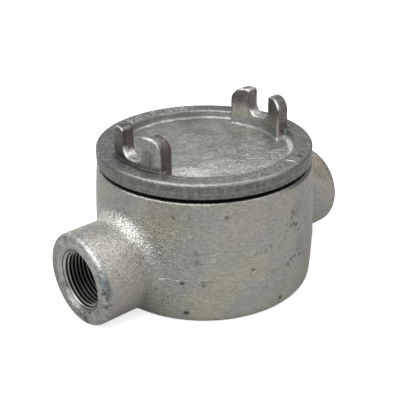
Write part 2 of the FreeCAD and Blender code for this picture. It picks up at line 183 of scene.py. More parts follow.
def scaled(tree, value, low, high):
    """A 0 to 1 value stretched to run from low to high."""
    return maths(tree, "ADD", low, maths(tree, "MULTIPLY", value, high - low))


def mix_colour(tree, share, first, second, blend="MIX"):
    made = node(tree, "ShaderNodeMix", data_type="RGBA", blend_type=blend)
    for socket, value in (("Factor_Float", share), ("A_Color", first), ("B_Color", second)):
        feed(tree, next(item for item in made.inputs if item.identifier == socket), value)
    return next(item for item in made.outputs if item.identifier == "Result_Color")


def shaded(tree, colour, shade, share=1.0):
    """Colour times a shade, all over or on a share of the skin."""
    return mix_colour(tree, share, colour, shade, blend="MULTIPLY")


def smooth_step(tree, value, low, high):
    """0 at low, 1 at high, whichever of the two is larger."""
    made = node(tree, "ShaderNodeMapRange", {"Value": value, "From Min": low, "From Max": high},
                interpolation_type="SMOOTHSTEP")
    return made.outputs["Result"]


def ramp(tree, value, base, low, high):
    """Smooth step between two distances in millimetres beyond a base in metres."""
    return smooth_step(tree, value, base + low * MM, base + high * MM)


def place(tree):
    return node(tree, "ShaderNodeTexCoord").outputs["Object"]


def split(tree, vector):
    """The X, Y and Z of a vector."""
    return node(tree, "ShaderNodeSeparateXYZ", {"Vector": vector}).outputs


def skin_facing(tree):
    """The X, Y and Z of the way the skin faces."""
    return split(tree, node(tree, "ShaderNodeTexCoord").outputs["Normal"])


def new_group(name, inputs, outputs):
    """Empty shader group with named sockets; returns its tree, what it is given and what it puts out."""
    tree = bpy.data.node_groups.new(name, "ShaderNodeTree")
    for label, kind, value in inputs:
        socket = tree.interface.new_socket(label, in_out="INPUT", socket_type="NodeSocket" + kind)
        socket.default_value = value
    for label, kind in outputs:
        tree.interface.new_socket(label, in_out="OUTPUT", socket_type="NodeSocket" + kind)
    return tree, tree.nodes.new("NodeGroupInput").outputs, tree.nodes.new("NodeGroupOutput").inputs


def use_group(tree, group, inputs):
    return node(tree, "ShaderNodeGroup", inputs, node_tree=group).outputs


def noise(tree, vector, size, detail=2.0, roughness=0.5, seed=0.0, output="Fac"):
    """Noise with features of about the given size in metres, between 0 and 1."""
    linked = isinstance(size, bpy.types.NodeSocket)
    scale = maths(tree, "DIVIDE", 1.0, size) if linked else 1 / size
    inputs = {"Vector": vector, "Scale": scale, "Detail": detail, "Roughness": roughness, "W": seed}
    return node(tree, "ShaderNodeTexNoise", inputs, noise_dimensions="4D").outputs[output]


def blotches(tree, size, low, high, seed, detail=2, roughness=0.5):
    """Soft-edged patches: noise cut off below one level and full above another."""
    return smooth_step(tree, noise(tree, place(tree), size, detail, roughness, seed), low, high)


def stirred_place(tree, size, shift, seed=0.0):
    """Place on the part, pushed about unevenly so that marks lose their round outline."""
    where = place(tree)
    push = noise(tree, where, size, detail=2, seed=seed, output="Color")
    centred = node(tree, "ShaderNodeVectorMath", {0: push, 1: (0.5, 0.5, 0.5)}, operation="SUBTRACT")
    pushed = node(tree, "ShaderNodeVectorMath", {0: centred.outputs[0], "Scale": 2 * shift}, operation="SCALE")
    return node(tree, "ShaderNodeVectorMath", {0: where, 1: pushed.outputs[0]}, operation="ADD").outputs[0]


# Shared effects
def make_casting_grain():
    """Sand-cast skin: pebbles with dark crevices, fine grain on them, slow swells below. Height in millimetres."""
    tree, given, made = new_group(
        "casting_grain",
        [("Grain Size", "Float", 0.5 * MM), ("Pebble Size", "Float", 0.8 * MM), ("Swell Size", "Float", 9 * MM),
         ("Grain Depth", "Float", 0.05), ("Pebble Depth", "Float", 0.13), ("Swell Depth", "Float", 0.12)],
        [("Height", "Float"), ("Crevice", "Float"), ("Speckle", "Float"), ("Mottle", "Float")],
    )
    where = place(tree)
    grain = noise(tree, where, given["Grain Size"], detail=2, roughness=0.6)
    pebbles = node(tree, "ShaderNodeTexVoronoi", {
        "Vector": stirred_place(tree, 1.4 * MM, 0.35 * MM, seed=2.2),
        "Scale": maths(tree, "DIVIDE", 1.0, given["Pebble Size"]),
        "Smoothness": 0.35, "Randomness": 1.0,
    }, feature="SMOOTH_F1").outputs["Distance"]
    swell = noise(tree, where, given["Swell Size"], detail=1, seed=7.7)
    blotch = noise(tree, where, times(tree, given["Pebble Size"], 3.0), detail=4, roughness=0.7, seed=11.3)
    height = maths(tree, "SUBTRACT", times(tree, grain, given["Grain Depth"]),
                   times(tree, pebbles, given["Pebble Depth"]))
    height = maths(tree, "ADD", height, times(tree, swell, given["Swell Depth"]))
    tree.links.new(height, made["Height"])
    tree.links.new(smooth_step(tree, pebbles, 0.3, 0.7), made["Crevice"])
    tree.links.new(smooth_step(tree, grain, 0.35, 0.7), made["Speckle"])
    tree.links.new(smooth_step(tree, blotch, 0.25, 0.75), made["Mottle"])
    return tree


def make_tone_patches():
    """Slow drift of a finish between its own colour and three stains."""
    tree, given, made = new_group(
        "tone_patches",
        [("Colour", "Color", (0.5, 0.5, 0.5, 1)), ("Warm", "Color", (0.6, 0.55, 0.4, 1)),
         ("Rosy", "Color", (0.55, 0.45, 0.45, 1)), ("Cool", "Color", (0.45, 0.5, 0.52, 1)),
         ("Patch Size", "Float", 14 * MM), ("Amount", "Float", 0.5)],
        [("Colour", "Color")],
    )
    where = place(tree)
    colour = given["Colour"]
    for stain, seed in (("Warm", 1.3), ("Rosy", 4.9), ("Cool", 8.2)):
        field = noise(tree, where, given["Patch Size"], detail=1.5, seed=seed)
        share = times(tree, smooth_step(tree, field, 0.45, 0.75), given["Amount"])
        colour = mix_colour(tree, share, colour, given[stain])
    tree.links.new(colour, made["Colour"])
    return tree


def make_scattered_pits():
    """Small round pits in some of the cells of a random pattern."""
    tree, given, made = new_group(
        "scattered_pits",
        [("Cell Size", "Float", 8 * MM), ("Pit Size", "Float", 0.5 * MM), ("Share", "Float", 0.4)],
        [("Mask", "Float")],
    )
    scale = maths(tree, "DIVIDE", 1.0, given["Cell Size"])
    cells = node(tree, "ShaderNodeTexVoronoi", {"Vector": place(tree), "Scale": scale, "Randomness": 1.0})
    luck = node(tree, "ShaderNodeSeparateColor", {"Color": cells.outputs["Color"]})
    reach = maths(tree, "DIVIDE", given["Pit Size"], given["Cell Size"])
    own_reach = times(tree, reach, maths(tree, "ADD", luck.outputs["Green"], 0.4))
    inside = maths(tree, "SUBTRACT", 1.0, maths(tree, "DIVIDE", cells.outputs["Distance"], own_reach), clamp=True)
    chosen = maths(tree, "LESS_THAN", luck.outputs["Red"], given["Share"])
    tree.links.new(times(tree, inside, chosen), made["Mask"])
    return tree


def make_spot():
    """Soft mark about a point."""
    tree, given, made = new_group(
        "spot",
        [("Where", "Vector", (0, 0, 0)), ("Centre", "Vector", (0, 0, 0)), ("Reach", "Float", 1 * MM)],
        [("Mask", "Float")],
    )
    apart = node(tree, "ShaderNodeVectorMath", {0: given["Where"], 1: given["Centre"]}, operation="DISTANCE")
    ratio = maths(tree, "DIVIDE", apart.outputs["Value"], given["Reach"])
    tree.links.new(smooth_step(tree, ratio, 1.0, 0.25), made["Mask"])
    return tree


GRAIN = make_casting_grain()
PATCHES = make_tone_patches()
PITS = make_scattered_pits()
SPOT = make_spot()
WORN_SAMPLES = 6


def new_material(name):
    material = bpy.data.materials.new(name)
    material.use_nodes = True
    tree = material.node_tree
    return material, tree, tree.nodes["Principled BSDF"]


def coat(tree, shader, colour, rough, metallic=1.0):
    """Give a shader its colour, its roughness and its share of metal."""
    tree.links.new(colour, shader.inputs["Base Color"])
    tree.links.new(rough, shader.inputs["Roughness"])
    shader.inputs["Metallic"].default_value = metallic


def from_line(tree, first, second):
    """Distance from an axis, from two coordinates across it."""
    return maths(tree, "SQRT", maths(tree, "ADD", times(tree, first, first), times(tree, second, second)))


def from_hub_axis(tree, axes):
    return from_line(tree, axes["Y"], maths(tree, "SUBTRACT", axes["Z"], HUB_AXIS))


def from_box_axis(tree, axes):
    return from_line(tree, axes["X"], axes["Y"])


def spots(tree, where, marks):
    """Mask of several marks: place in metres, reach in millimetres, strength."""
    mask = 0.0
    for centre, reach, strength in marks:
        mark = use_group(tree, SPOT, {"Where": where, "Centre": centre, "Reach": reach * MM})
        mask = maths(tree, "MAXIMUM", mask, times(tree, mark["Mask"], strength))
    return mask


def bumped(tree, shader, height, worn_edge=0.0):
    """Give a shader the relief of a height in millimetres, and edges worn round where asked."""
    bump = node(tree, "ShaderNodeBump", {"Height": height, "Strength": 1.0, "Distance": MM})
    if worn_edge:
        worn = node(tree, "ShaderNodeBevel", {"Radius": worn_edge}, samples=WORN_SAMPLES)
        tree.links.new(worn.outputs["Normal"], bump.inputs["Normal"])
    tree.links.new(bump.outputs["Normal"], shader.inputs["Normal"])


def brushed(tree, turn, stretch, size, seed):
    """Noise drawn out along chosen axes, after a turn about Z."""
    lie = node(tree, "ShaderNodeMapping", {"Vector": place(tree), "Rotation": (0, 0, turn), "Scale": stretch},
               vector_type="TEXTURE")
    return noise(tree, lie.outputs["Vector"], size, detail=3, roughness=0.65, seed=seed)


# Plated iron of the body
CASTING = BVHTree.FromObject(frame["nodes"]["box_body"], bpy.context.evaluated_depsgraph_get())


def on_wall(turn, height):
    """Point on the body's wall at a turn in degrees and a height in millimetres."""
    angle = math.radians(turn)
    outward = Vector((math.cos(angle), math.sin(angle), 0))
    return CASTING.ray_cast(outward * 2 * BELLY + Vector((0, 0, height * MM)), -outward)[0]


def at(x, y, z):
    return Vector((x, y, z)) * MM


# Marks: place, reach in millimetres, strength
BODY_PITS = [
    (on_wall(-147.1, 50.5), 1.5, 0.6),
    (on_wall(-139.3, 51.1), 1.2, 0.4),
    (on_wall(-121.4, 50.7), 1.5, 0.6),
    (on_wall(-108.5, 25.0), 1.4, 0.55),
    (on_wall(-143.1, 20.9), 1.7, 0.85),
    (on_wall(-132.6, 20.0), 1.5, 0.7),
    (on_wall(-141.6, 5.7), 1.8, 0.95),
    (on_wall(-90.8, 5.9), 1.7, 0.85),
    (on_wall(-80.4, 38.7), 1.6, 0.75),
    (on_wall(-82.9, 44.7), 1.7, 0.5),
    (on_wall(-86.5, 21.4), 1.5, 0.6),
    (on_wall(-135.7, 34.7), 1.8, 0.35),
    (on_wall(-135.4, 31.0), 2.2, 0.4),
    (on_wall(-84.2, 23.0), 1.5, 0.6),
    (on_wall(-80.7, 23.2), 1.4, 0.5),
    (on_wall(-76.8, 22.6), 1.7, 0.55),
    (on_wall(-78.5, 35.1), 1.4, 0.4),
    (on_wall(-83.8, 46.1), 1.3, 0.4),
    (on_wall(-107.0, 32.3), 1.4, 0.3),
    (on_wall(-104.2, 32.4), 1.4, 0.25),
    (on_wall(-101.4, 32.5), 1.4, 0.3),
    (on_wall(-98.2, 21.8), 1.1, 0.3),
    (on_wall(-96.0, 21.5), 1.4, 0.25),
    (on_wall(-94.1, 21.7), 1.0, 0.25),
    (at(-72.0, -19.1, 24.1), 1.5, 0.8),
    (at(-71.1, -20.3, 21.4), 1.3, 0.7),
    (at(-70.6, -20.4, 19.4), 1.1, 0.5),
    (at(-70.0, -20.5, 18.1), 1.2, 0.6),
    (at(-72.35, -0.8, 5.6), 1.8, 0.6),
    (at(-72.35, -3.8, 5.0), 1.9, 0.85),
    (at(-72.3, -5.1, 3.6), 1.7, 1.0),
    (at(-71.5, -20.1, 22.4), 1.3, 0.8),
    (at(-71.7, -19.3, 17.4), 1.5, 0.75),
    (at(-71.9, -18.6, 26.0), 1.2, 0.7),
]
PURPLE_DOTS = [
    (at(14.4, -48.3, 22.7), 1.5, 0.6),
    (at(10.5, -49.3, 25.1), 1.2, 0.4),
    (at(16.9, -47.4, 18.8), 1.6, 0.6),
]
TEAL_STAIN = [
    (at(-71.7, -16.8, 32.3), 3.2, 0.3),
    (at(-71.6, -17.9, 30.2), 3.4, 0.6),
    (at(-71.5, -18.8, 28.5), 3.6, 0.75),
    (at(-71.2, -19.6, 26.5), 3.4, 0.75),
    (at(-70.9, -20.3, 24.6), 3.2, 0.6),
]
YELLOW_STAIN = [
    (on_wall(-107.4, 26.7), 11.0, 0.75),
    (on_wall(-90.0, 37.0), 11.0, 0.5),
    (on_wall(-132.2, 9.8), 14.0, 0.6),
    (on_wall(-122.6, 19.9), 14.0, 0.6),
    (on_wall(-152.0, 47.0), 14.0, 0.6),
]
PINK_STAIN = [
    (on_wall(-113.0, 48.0), 15.0, 0.5),
    (on_wall(-90.0, 52.0), 12.0, 0.5),
    (on_wall(-117.7, 42.8), 11.0, 0.4),
    (at(-60.0, -19.3, 29.5), 13.0, 0.55),
    (at(58.5, -16.4, 34.6), 9.0, 0.6),
    (at(64.5, -19.3, 29.0), 9.0, 0.7),
]
OLIVE_STAIN = [(at(65.3, -12.9, 38.0), 10.0, 0.75), (at(60.0, -6.0, 42.0), 11.0, 0.7)]
BRIGHT_NICKS = [
    (on_wall(turn, height), 0.6, 0.6)
    for height in (34.2, 32.8, 31.5)
    for turn in (-129.3, -128.6, -127.9, -127.2)
]
SMUDGES = [
    (at(-72.35, 6.0, 38.6), 3.4, 0.45),
    (at(-72.2, 1.0, 40.4), 2.6, 0.35),
    (on_wall(-79.0, 46.0), 6.0, 0.3),
    (on_wall(-84.0, 40.0), 4.0, 0.25),
    (on_wall(-77.0, 30.0), 5.0, 0.25),
    (on_wall(-90.0, 33.0), 3.5, 0.2),
]
ROUGH_PATCHES = [
    (on_wall(-83.0, 41.5), 7.0, 1.0),
    (on_wall(-72.0, 40.0), 6.0, 0.9),
    (on_wall(-70.0, 32.0), 5.0, 0.6),
    (on_wall(-75.5, 24.5), 6.0, 1.0),
    (on_wall(-82.0, 22.0), 5.0, 0.8),
    (on_wall(-97.0, 33.0), 5.0, 0.6),
    (on_wall(-153.0, 14.0), 7.0, 0.5),
]
BODY_STAINS = [
    (YELLOW_STAIN, (0.51, 0.495, 0.38, 1)),
    (PINK_STAIN, (0.535, 0.485, 0.425, 1)),
    (OLIVE_STAIN, (0.33, 0.29, 0.21, 1)),
    (TEAL_STAIN, (0.19, 0.27, 0.26, 1)),
]
BODY_SPECKS = [
    (PURPLE_DOTS, (0.25, 0.22, 0.22, 1)),
    (SMUDGES, (0.2, 0.2, 0.19, 1)),
    (BRIGHT_NICKS, (0.72, 0.72, 0.68, 1)),
    (BODY_PITS, (0.07, 0.065, 0.05, 1)),
]
IRON_TONES = {
    "Colour": (0.458, 0.461, 0.42, 1),
    "Warm": (0.49, 0.475, 0.37, 1),
    "Rosy": (0.49, 0.445, 0.40, 1),
    "Cool": (0.45, 0.462, 0.432, 1),
}
HUB_END_TONE = (0.47, 0.485, 0.475, 1)
IRON_PIT_TONE = (0.085, 0.08, 0.06, 1)
GRIT_TONE = (0.15, 0.14, 0.125, 1)
SEAL_SHADOW_TONE = (0.03, 0.03, 0.03, 1)
TURNED_DARK_TONE = (0.30, 0.30, 0.28, 1)
TURNED_LIGHT_TONE = (0.56, 0.56, 0.53, 1)
MOUTH_TONE = (0.62, 0.63, 0.58, 1)
BORE_SHADE_TONE = (0.03, 0.029, 0.027, 1)
BODY_WORN_EDGE = 1.2 * MM


def plated_iron():
    material, tree, shader = new_material("plated_iron")
    axes = split(tree, place(tree))
    x, y, z = axes
    along = maths(tree, "ABSOLUTE", x)
    hub_reach = from_hub_axis(tree, axes)

    # Places on the casting
    in_bore = times(tree, ramp(tree, hub_reach, HUB_BORE, 0.25, 0.1), ramp(tree, along, HUB_THREAD_LOW, -1, 0))
    countersunk = times(tree, ramp(tree, hub_reach, HUB_MOUTH, 0.1, -0.1),
                        ramp(tree, along, HUB_THREAD_HIGH, 0, 0.1))
    hub_end = smooth_step(tree, along, HUB_FACE - 1.6 * HUB_END_ROUND, HUB_FACE - 0.6 * HUB_END_ROUND)
    on_hub = ramp(tree, along, BELLY, -20, -4)
    near_hub = ramp(tree, x, 0, 0, -10)
    # Painted shade: the back of the near hub's end face is darkened.
    far_cheek_shade = times(tree, hub_end, ramp(tree, y, 0, 4, 17), near_hub)
    root = times(tree, ramp(tree, along, BELLY, -20, -8), ramp(tree, along, BELLY, 12, 2))
    # Painted highlights: the near hub's top and the blend at its root are brightened.
    lit_top = times(tree, on_hub, ramp(tree, z, HUB_AXIS, 0, 14), ramp(tree, z, HUB_AXIS, 26, 20), near_hub)
    glint = times(tree, root, ramp(tree, hub_reach, 0, 25.5, 22.5), ramp(tree, z, HUB_AXIS, 6, 16),
                  ramp(tree, y, 0, -17, -11), near_hub)
    # Painted shade: the front of the near hub's root is darkened beside that highlight.
    root_side_shade = times(tree, root, ramp(tree, y, 0, -13, -19), ramp(tree, z, HUB_AXIS, 4, 11), near_hub)
    upper = times(tree, on_hub, ramp(tree, z, HUB_AXIS, -4, 8), ramp(tree, z, HUB_AXIS, 30, 22))
    # Painted shade: the front right of the wall is darkened.
    dim_side = times(tree, ramp(tree, x, 0, 4, 22), ramp(tree, y, 0, -28, -38))
    under_seal = times(tree, ramp(tree, z, RIM_TOP, -2.0, -0.9), ramp(tree, x, 0, -8, 14))
    turned_rim = ramp(tree, z, RIM_TOP, -0.2, -0.05)
    mouth_low = ramp(tree, z, HUB_AXIS, 0, -9)
    machined = maths(tree, "MAXIMUM", turned_rim, maths(tree, "MAXIMUM", in_bore, countersunk))

    # Plating, its stains and its grain, with painted highlights and painted shade on the near hub and the wall
    grain = use_group(tree, GRAIN, {})
    hub_grain = use_group(tree, GRAIN, {
        "Grain Size": 0.4 * MM, "Pebble Size": 0.6 * MM,
        "Grain Depth": 0.04, "Pebble Depth": 0.14, "Swell Depth": 0.15,
    })
    colour = use_group(tree, PATCHES, {**IRON_TONES, "Patch Size": 24 * MM, "Amount": 0.55})["Colour"]
    colour = mix_colour(tree, times(tree, hub_end, 0.6), colour, HUB_END_TONE)
    drifting = stirred_place(tree, 9 * MM, 5 * MM, seed=8.8)
    for marks, tint in BODY_STAINS:
        colour = mix_colour(tree, spots(tree, drifting, marks), colour, tint)
    level = smooth_step(tree, brushed(tree, 0.0, (3, 3, 1), 0.75 * MM, seed=4.4), 0.3, 0.7)
    crevices = times(tree, grain["Crevice"], scaled(tree, root, 0.1, 0.2))
    hub_crevices = times(tree, hub_grain["Crevice"], upper, near_hub, 0.42)
    stained_face = blotches(tree, 2.4 * MM, 0.3, 0.62, seed=13.7, detail=3, roughness=0.65)
    dulled = times(tree, hub_end, maths(tree, "SUBTRACT", 1.0, stained_face), 0.42)
    # Besides grain and stains, this shade carries painted light: the near hub's upper side, top and root
    # brightened as painted highlights, and painted shade on the front of its root, the back of its end face and
    # the wall's front right.
    shade = times(
        tree, scaled(tree, grain["Mottle"], 0.93, 1.07), scaled(tree, level, 0.84, 1.14),
        scaled(tree, grain["Speckle"], 0.9, 1.1), maths(tree, "SUBTRACT", 1.04, crevices),
        scaled(tree, dim_side, 1.0, 0.88), scaled(tree, far_cheek_shade, 1.0, 0.8), scaled(tree, root_side_shade, 1.0, 0.87),
        maths(tree, "SUBTRACT", scaled(tree, times(tree, upper, near_hub), 1.0, 1.25), hub_crevices),
        maths(tree, "SUBTRACT", 1.05, dulled), scaled(tree, lit_top, 0.97, 1.12), scaled(tree, glint, 1.0, 1.32),
    )
    colour = shaded(tree, colour, shade)

    # Specks, pits, grit and the painted shadow under the seal
    where = stirred_place(tree, 1.2 * MM, 1.2 * MM, seed=6.1)
    for marks, tint in BODY_SPECKS:
        colour = mix_colour(tree, spots(tree, where, marks), colour, tint)
    scattered = use_group(tree, PITS, {"Cell Size": 8 * MM, "Pit Size": 0.7 * MM, "Share": 0.25})["Mask"]
    colour = mix_colour(tree, times(tree, scattered, 0.5), colour, IRON_PIT_TONE)
    specks = use_group(tree, PITS, {"Cell Size": 1.5 * MM, "Pit Size": 0.7 * MM, "Share": 0.5})["Mask"]
    grit = times(tree, smooth_step(tree, specks, 0.0, 0.45), spots(tree, drifting, ROUGH_PATCHES))
    colour = mix_colour(tree, grit, colour, GRIT_TONE)
    colour = mix_colour(tree, times(tree, under_seal, 0.65), colour, SEAL_SHADOW_TONE)

    # Turned rim, countersink, and the bore painted dark as shade
    tarnish = blotches(tree, 2.5 * MM, 0.35, 0.65, seed=1.9, detail=3, roughness=0.7)
    turned = mix_colour(tree, tarnish, TURNED_DARK_TONE, TURNED_LIGHT_TONE)
    colour = mix_colour(tree, turned_rim, colour, turned)
    mouth_grit = blotches(tree, 1.2 * MM, 0.32, 0.62, seed=36.2, detail=3, roughness=0.7)
    mouth = mix_colour(tree, 0.5, turned, MOUTH_TONE)
    # The countersink's lower half is darkened in gritty blotches: grit, and painted shade on that half.
    mouth = shaded(tree, mouth, scaled(tree, mouth_grit, 0.25, 0.85), share=mouth_low)
    colour = mix_colour(tree, countersunk, colour, mouth)
    colour = mix_colour(tree, in_bore, colour, BORE_SHADE_TONE)

    rough = maths(tree, "ADD", scaled(tree, grain["Speckle"], 0.3, 0.4), times(tree, hub_end, 0.07))
    sunk = times(tree, maths(tree, "ADD", spots(tree, where, BODY_PITS), scattered), 0.12)
    relief = maths(tree, "ADD", times(tree, grain["Height"], scaled(tree, root, 0.85, 1.1)),
                   times(tree, hub_grain["Height"], scaled(tree, root, 1.5, 1.9), upper))
    relief = maths(tree, "ADD", relief, times(tree, level, 0.04))
    height = maths(tree, "SUBTRACT", relief, sunk)
    height = times(tree, height, scaled(tree, machined, 1.0, 0.1), scaled(tree, hub_end, 1.0, 0.4))
    bumped(tree, shader, height, worn_edge=BODY_WORN_EDGE)
    coat(tree, shader, colour, rough)
    return material


# Bare aluminium of the cover
RIM_DOTS = [
    (at(17.3, -42.1, 65.5), 2.2, 1.0),
    (at(18.6, -41.3, 65.5), 1.2, 0.6),
    (at(-30.5, -33.0, 65.5), 1.0, 0.4),
    (at(33.0, -31.5, 65.5), 1.1, 0.5),
]
PALE_FLOOR = [
    (at(-25.5, -12.5, 61.3), 8.0, 0.7),
    (at(-22.0, -18.0, 61.3), 9.0, 0.9),
    (at(-14.0, -20.0, 61.3), 8.0, 0.5),
]
DULL_FLOOR = [
    (at(3.5, -17.0, 61.3), 8.0, 0.5),
    (at(5.9, -27.0, 61.3), 7.0, 0.4),
    (at(8.0, -8.0, 61.3), 7.0, 0.3),
]
ROUGH_FLOOR = [
    (at(2.5, -3.5, 61.3), 7.0, 0.8),
    (at(8.5, -12.5, 61.3), 8.0, 1.0),
    (at(16.0, -14.0, 61.3), 7.0, 0.8),
]
LUG_SMEARS = [
    (at(-39.5, -10.5, 69.5), 3.0, 0.5),
    (at(-39.6, -10.2, 72.5), 2.8, 0.42),
    (at(-38.7, -13.6, 67.5), 1.8, 0.35),
]
BRUSH_TURN = math.radians(-41)
ALUMINIUM_TONES = {
    "Colour": (0.44, 0.44, 0.41, 1),
    "Warm": (0.45, 0.425, 0.36, 1),
    "Rosy": (0.41, 0.37, 0.355, 1),
    "Cool": (0.39, 0.41, 0.42, 1),
}
FIELD_BACK_TONE = (0.6, 0.6, 0.57, 1)
FIELD_FRONT_TONE = (0.78, 0.78, 0.755, 1)
FIELD_BACK_RIGHT_TONE = (0.48, 0.48, 0.455, 1)
FIELD_FRONT_RIGHT_TONE = (0.66, 0.66, 0.63, 1)
FIELD_PALE_TONE = (0.95, 0.95, 0.93, 1)
FIELD_DULL_TONE = (0.4, 0.4, 0.38, 1)
FIELD_EDGE_HIGHLIGHT_TONE = (0.9, 0.9, 0.88, 1)
RIM_BACK_TONE = (0.25, 0.252, 0.242, 1)
RIM_FRONT_TONE = (0.335, 0.335, 0.305, 1)
RIM_ROSY_TONE = (0.265, 0.243, 0.252, 1)
RIM_BLUE_TONE = (0.225, 0.248, 0.262, 1)
RIM_EDGE_HIGHLIGHT_TONE = (0.41, 0.41, 0.38, 1)
CRUMB_DARK_TONE = (0.1, 0.096, 0.092, 1)
CRUMB_LIGHT_TONE = (0.72, 0.72, 0.7, 1)
SIDE_DARK_TONE = (0.132, 0.121, 0.113, 1)
SIDE_LIGHT_TONE = (0.25, 0.24, 0.228, 1)
EAR_LOW_TONE = (0.46, 0.455, 0.385, 1)
EAR_HIGH_SHADE_TONE = (0.19, 0.182, 0.165, 1)
EAR_OUTSIDE_LIT_TONE = (0.42, 0.415, 0.385, 1)
EAR_SHADED_TONE = (0.13, 0.128, 0.12, 1)
EAR_END_SHADE_LEFT_TONE = (0.2, 0.172, 0.16, 1)
EAR_END_SHADE_RIGHT_TONE = (0.28, 0.255, 0.237, 1)
EAR_CROWN_HIGHLIGHT_TONE = (0.58, 0.575, 0.54, 1)
EAR_FAR_SHADE_TONE = (0.14, 0.132, 0.122, 1)
EAR_SADDLE_HIGHLIGHT_TONE = (0.6, 0.595, 0.56, 1)
EAR_BROW_HIGHLIGHT_TONE = (0.72, 0.715, 0.68, 1)
SMEAR_TONE = (0.1, 0.097, 0.088, 1)
LUG_FOOT_SHADOW_TONE = (0.09, 0.085, 0.08, 1)
ALUMINIUM_PIT_TONE = (0.09, 0.085, 0.075, 1)
RIM_WORN_EDGE = 1.3 * MM
LUG_WORN_EDGE = 2.2 * MM


